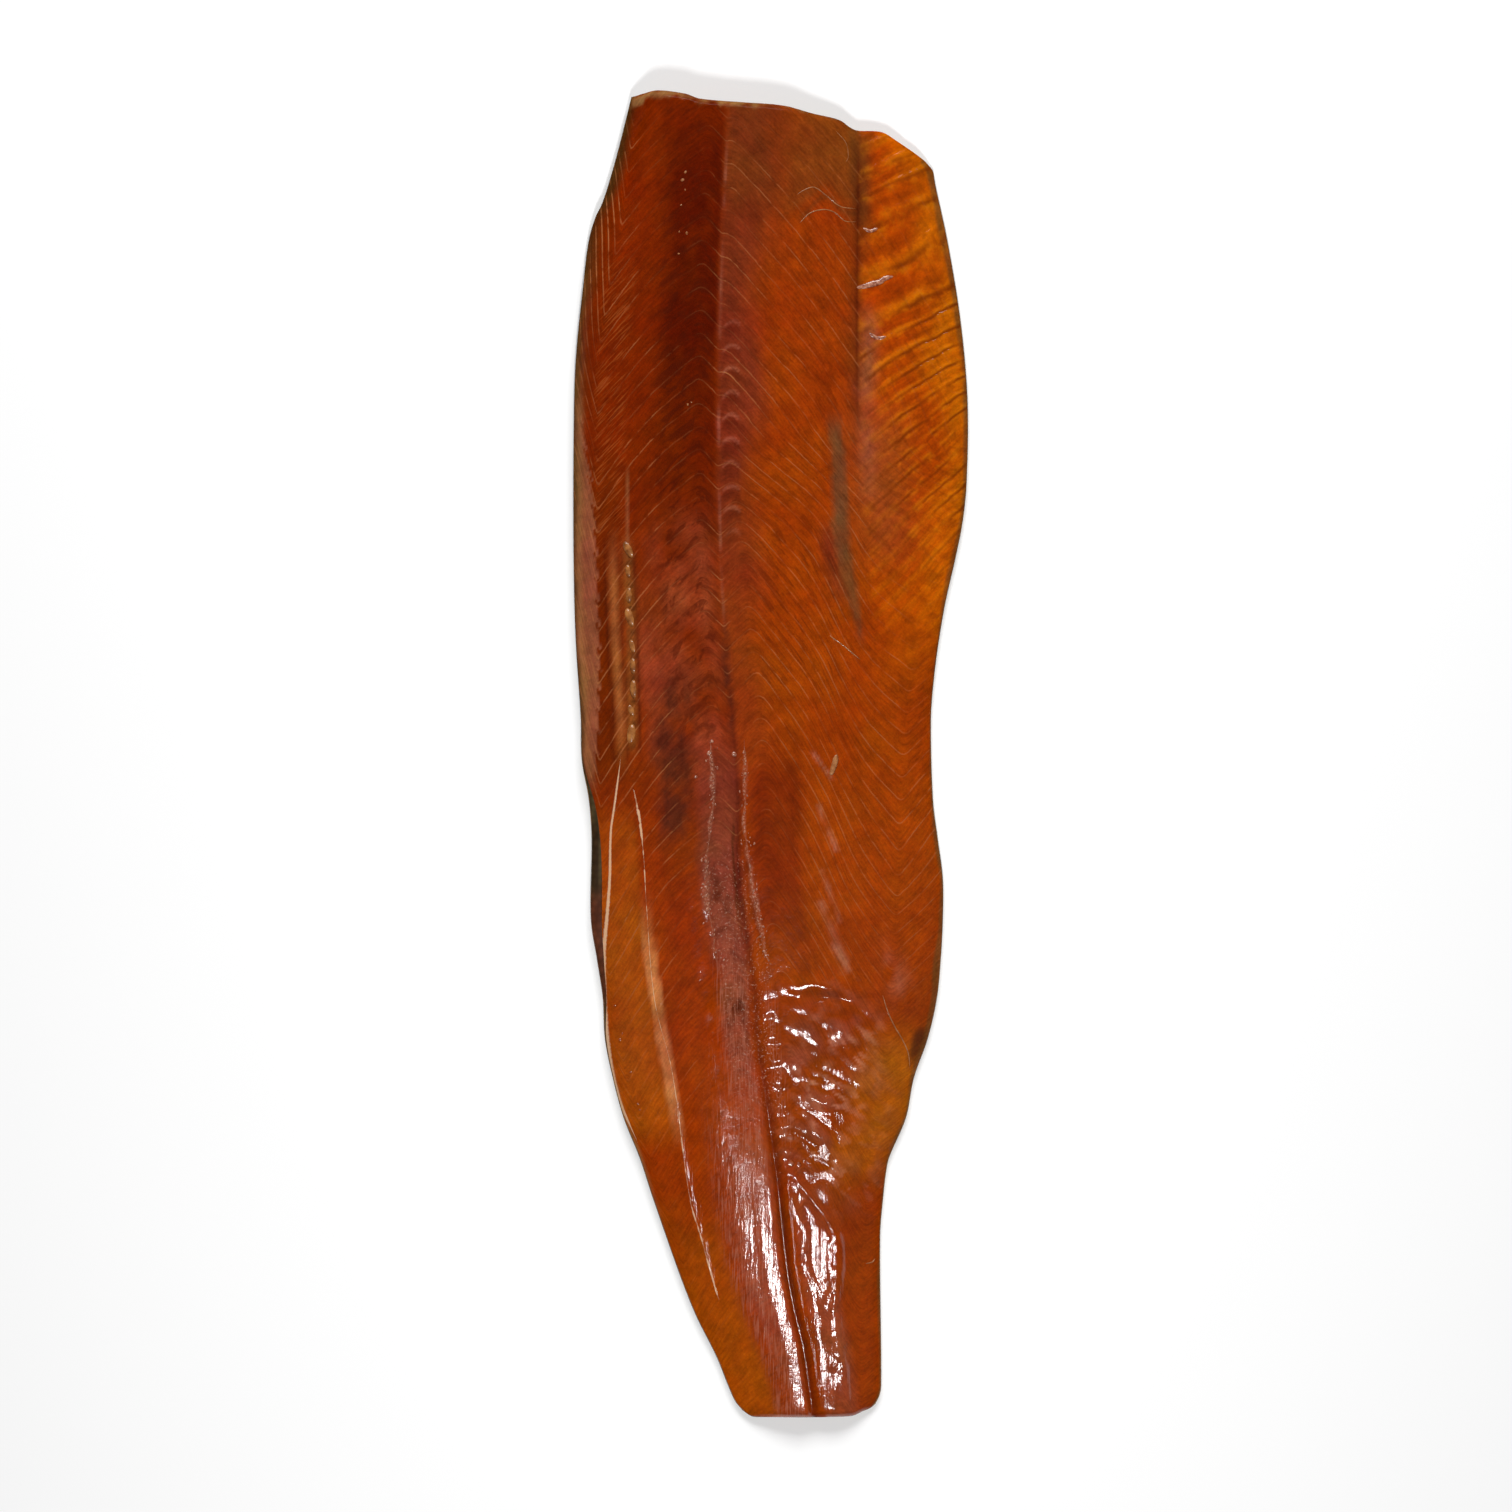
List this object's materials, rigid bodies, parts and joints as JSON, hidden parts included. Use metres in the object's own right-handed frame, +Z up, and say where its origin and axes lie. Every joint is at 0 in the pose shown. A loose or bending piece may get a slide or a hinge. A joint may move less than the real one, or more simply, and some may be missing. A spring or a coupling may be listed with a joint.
{
  "type": "smoked fish side",
  "caption": "Whole side of smoked fish lying on its skin: amber flesh with fine flake lines, a seam down the middle, a thin ribbed belly flap and a narrow tail end.",
  "frame": {"origin": "centre of the fillet's outline, on the surface it lies on", "axes": "+Z up out of the cut flesh, +Y towards the head end, -Y towards the tail, -X towards the back, +X towards the belly"},
  "size_m": [0.1786, 0.599, 0.0264],
  "materials": {
    "flesh": "amber to red-brown smoked flesh with an oily shine",
    "skin": "dried smoked skin, olive-gold and brown, with fine scales"
  },
  "bodies": {
    "root": {"fillet": "flesh"}
  },
  "joints": []
}
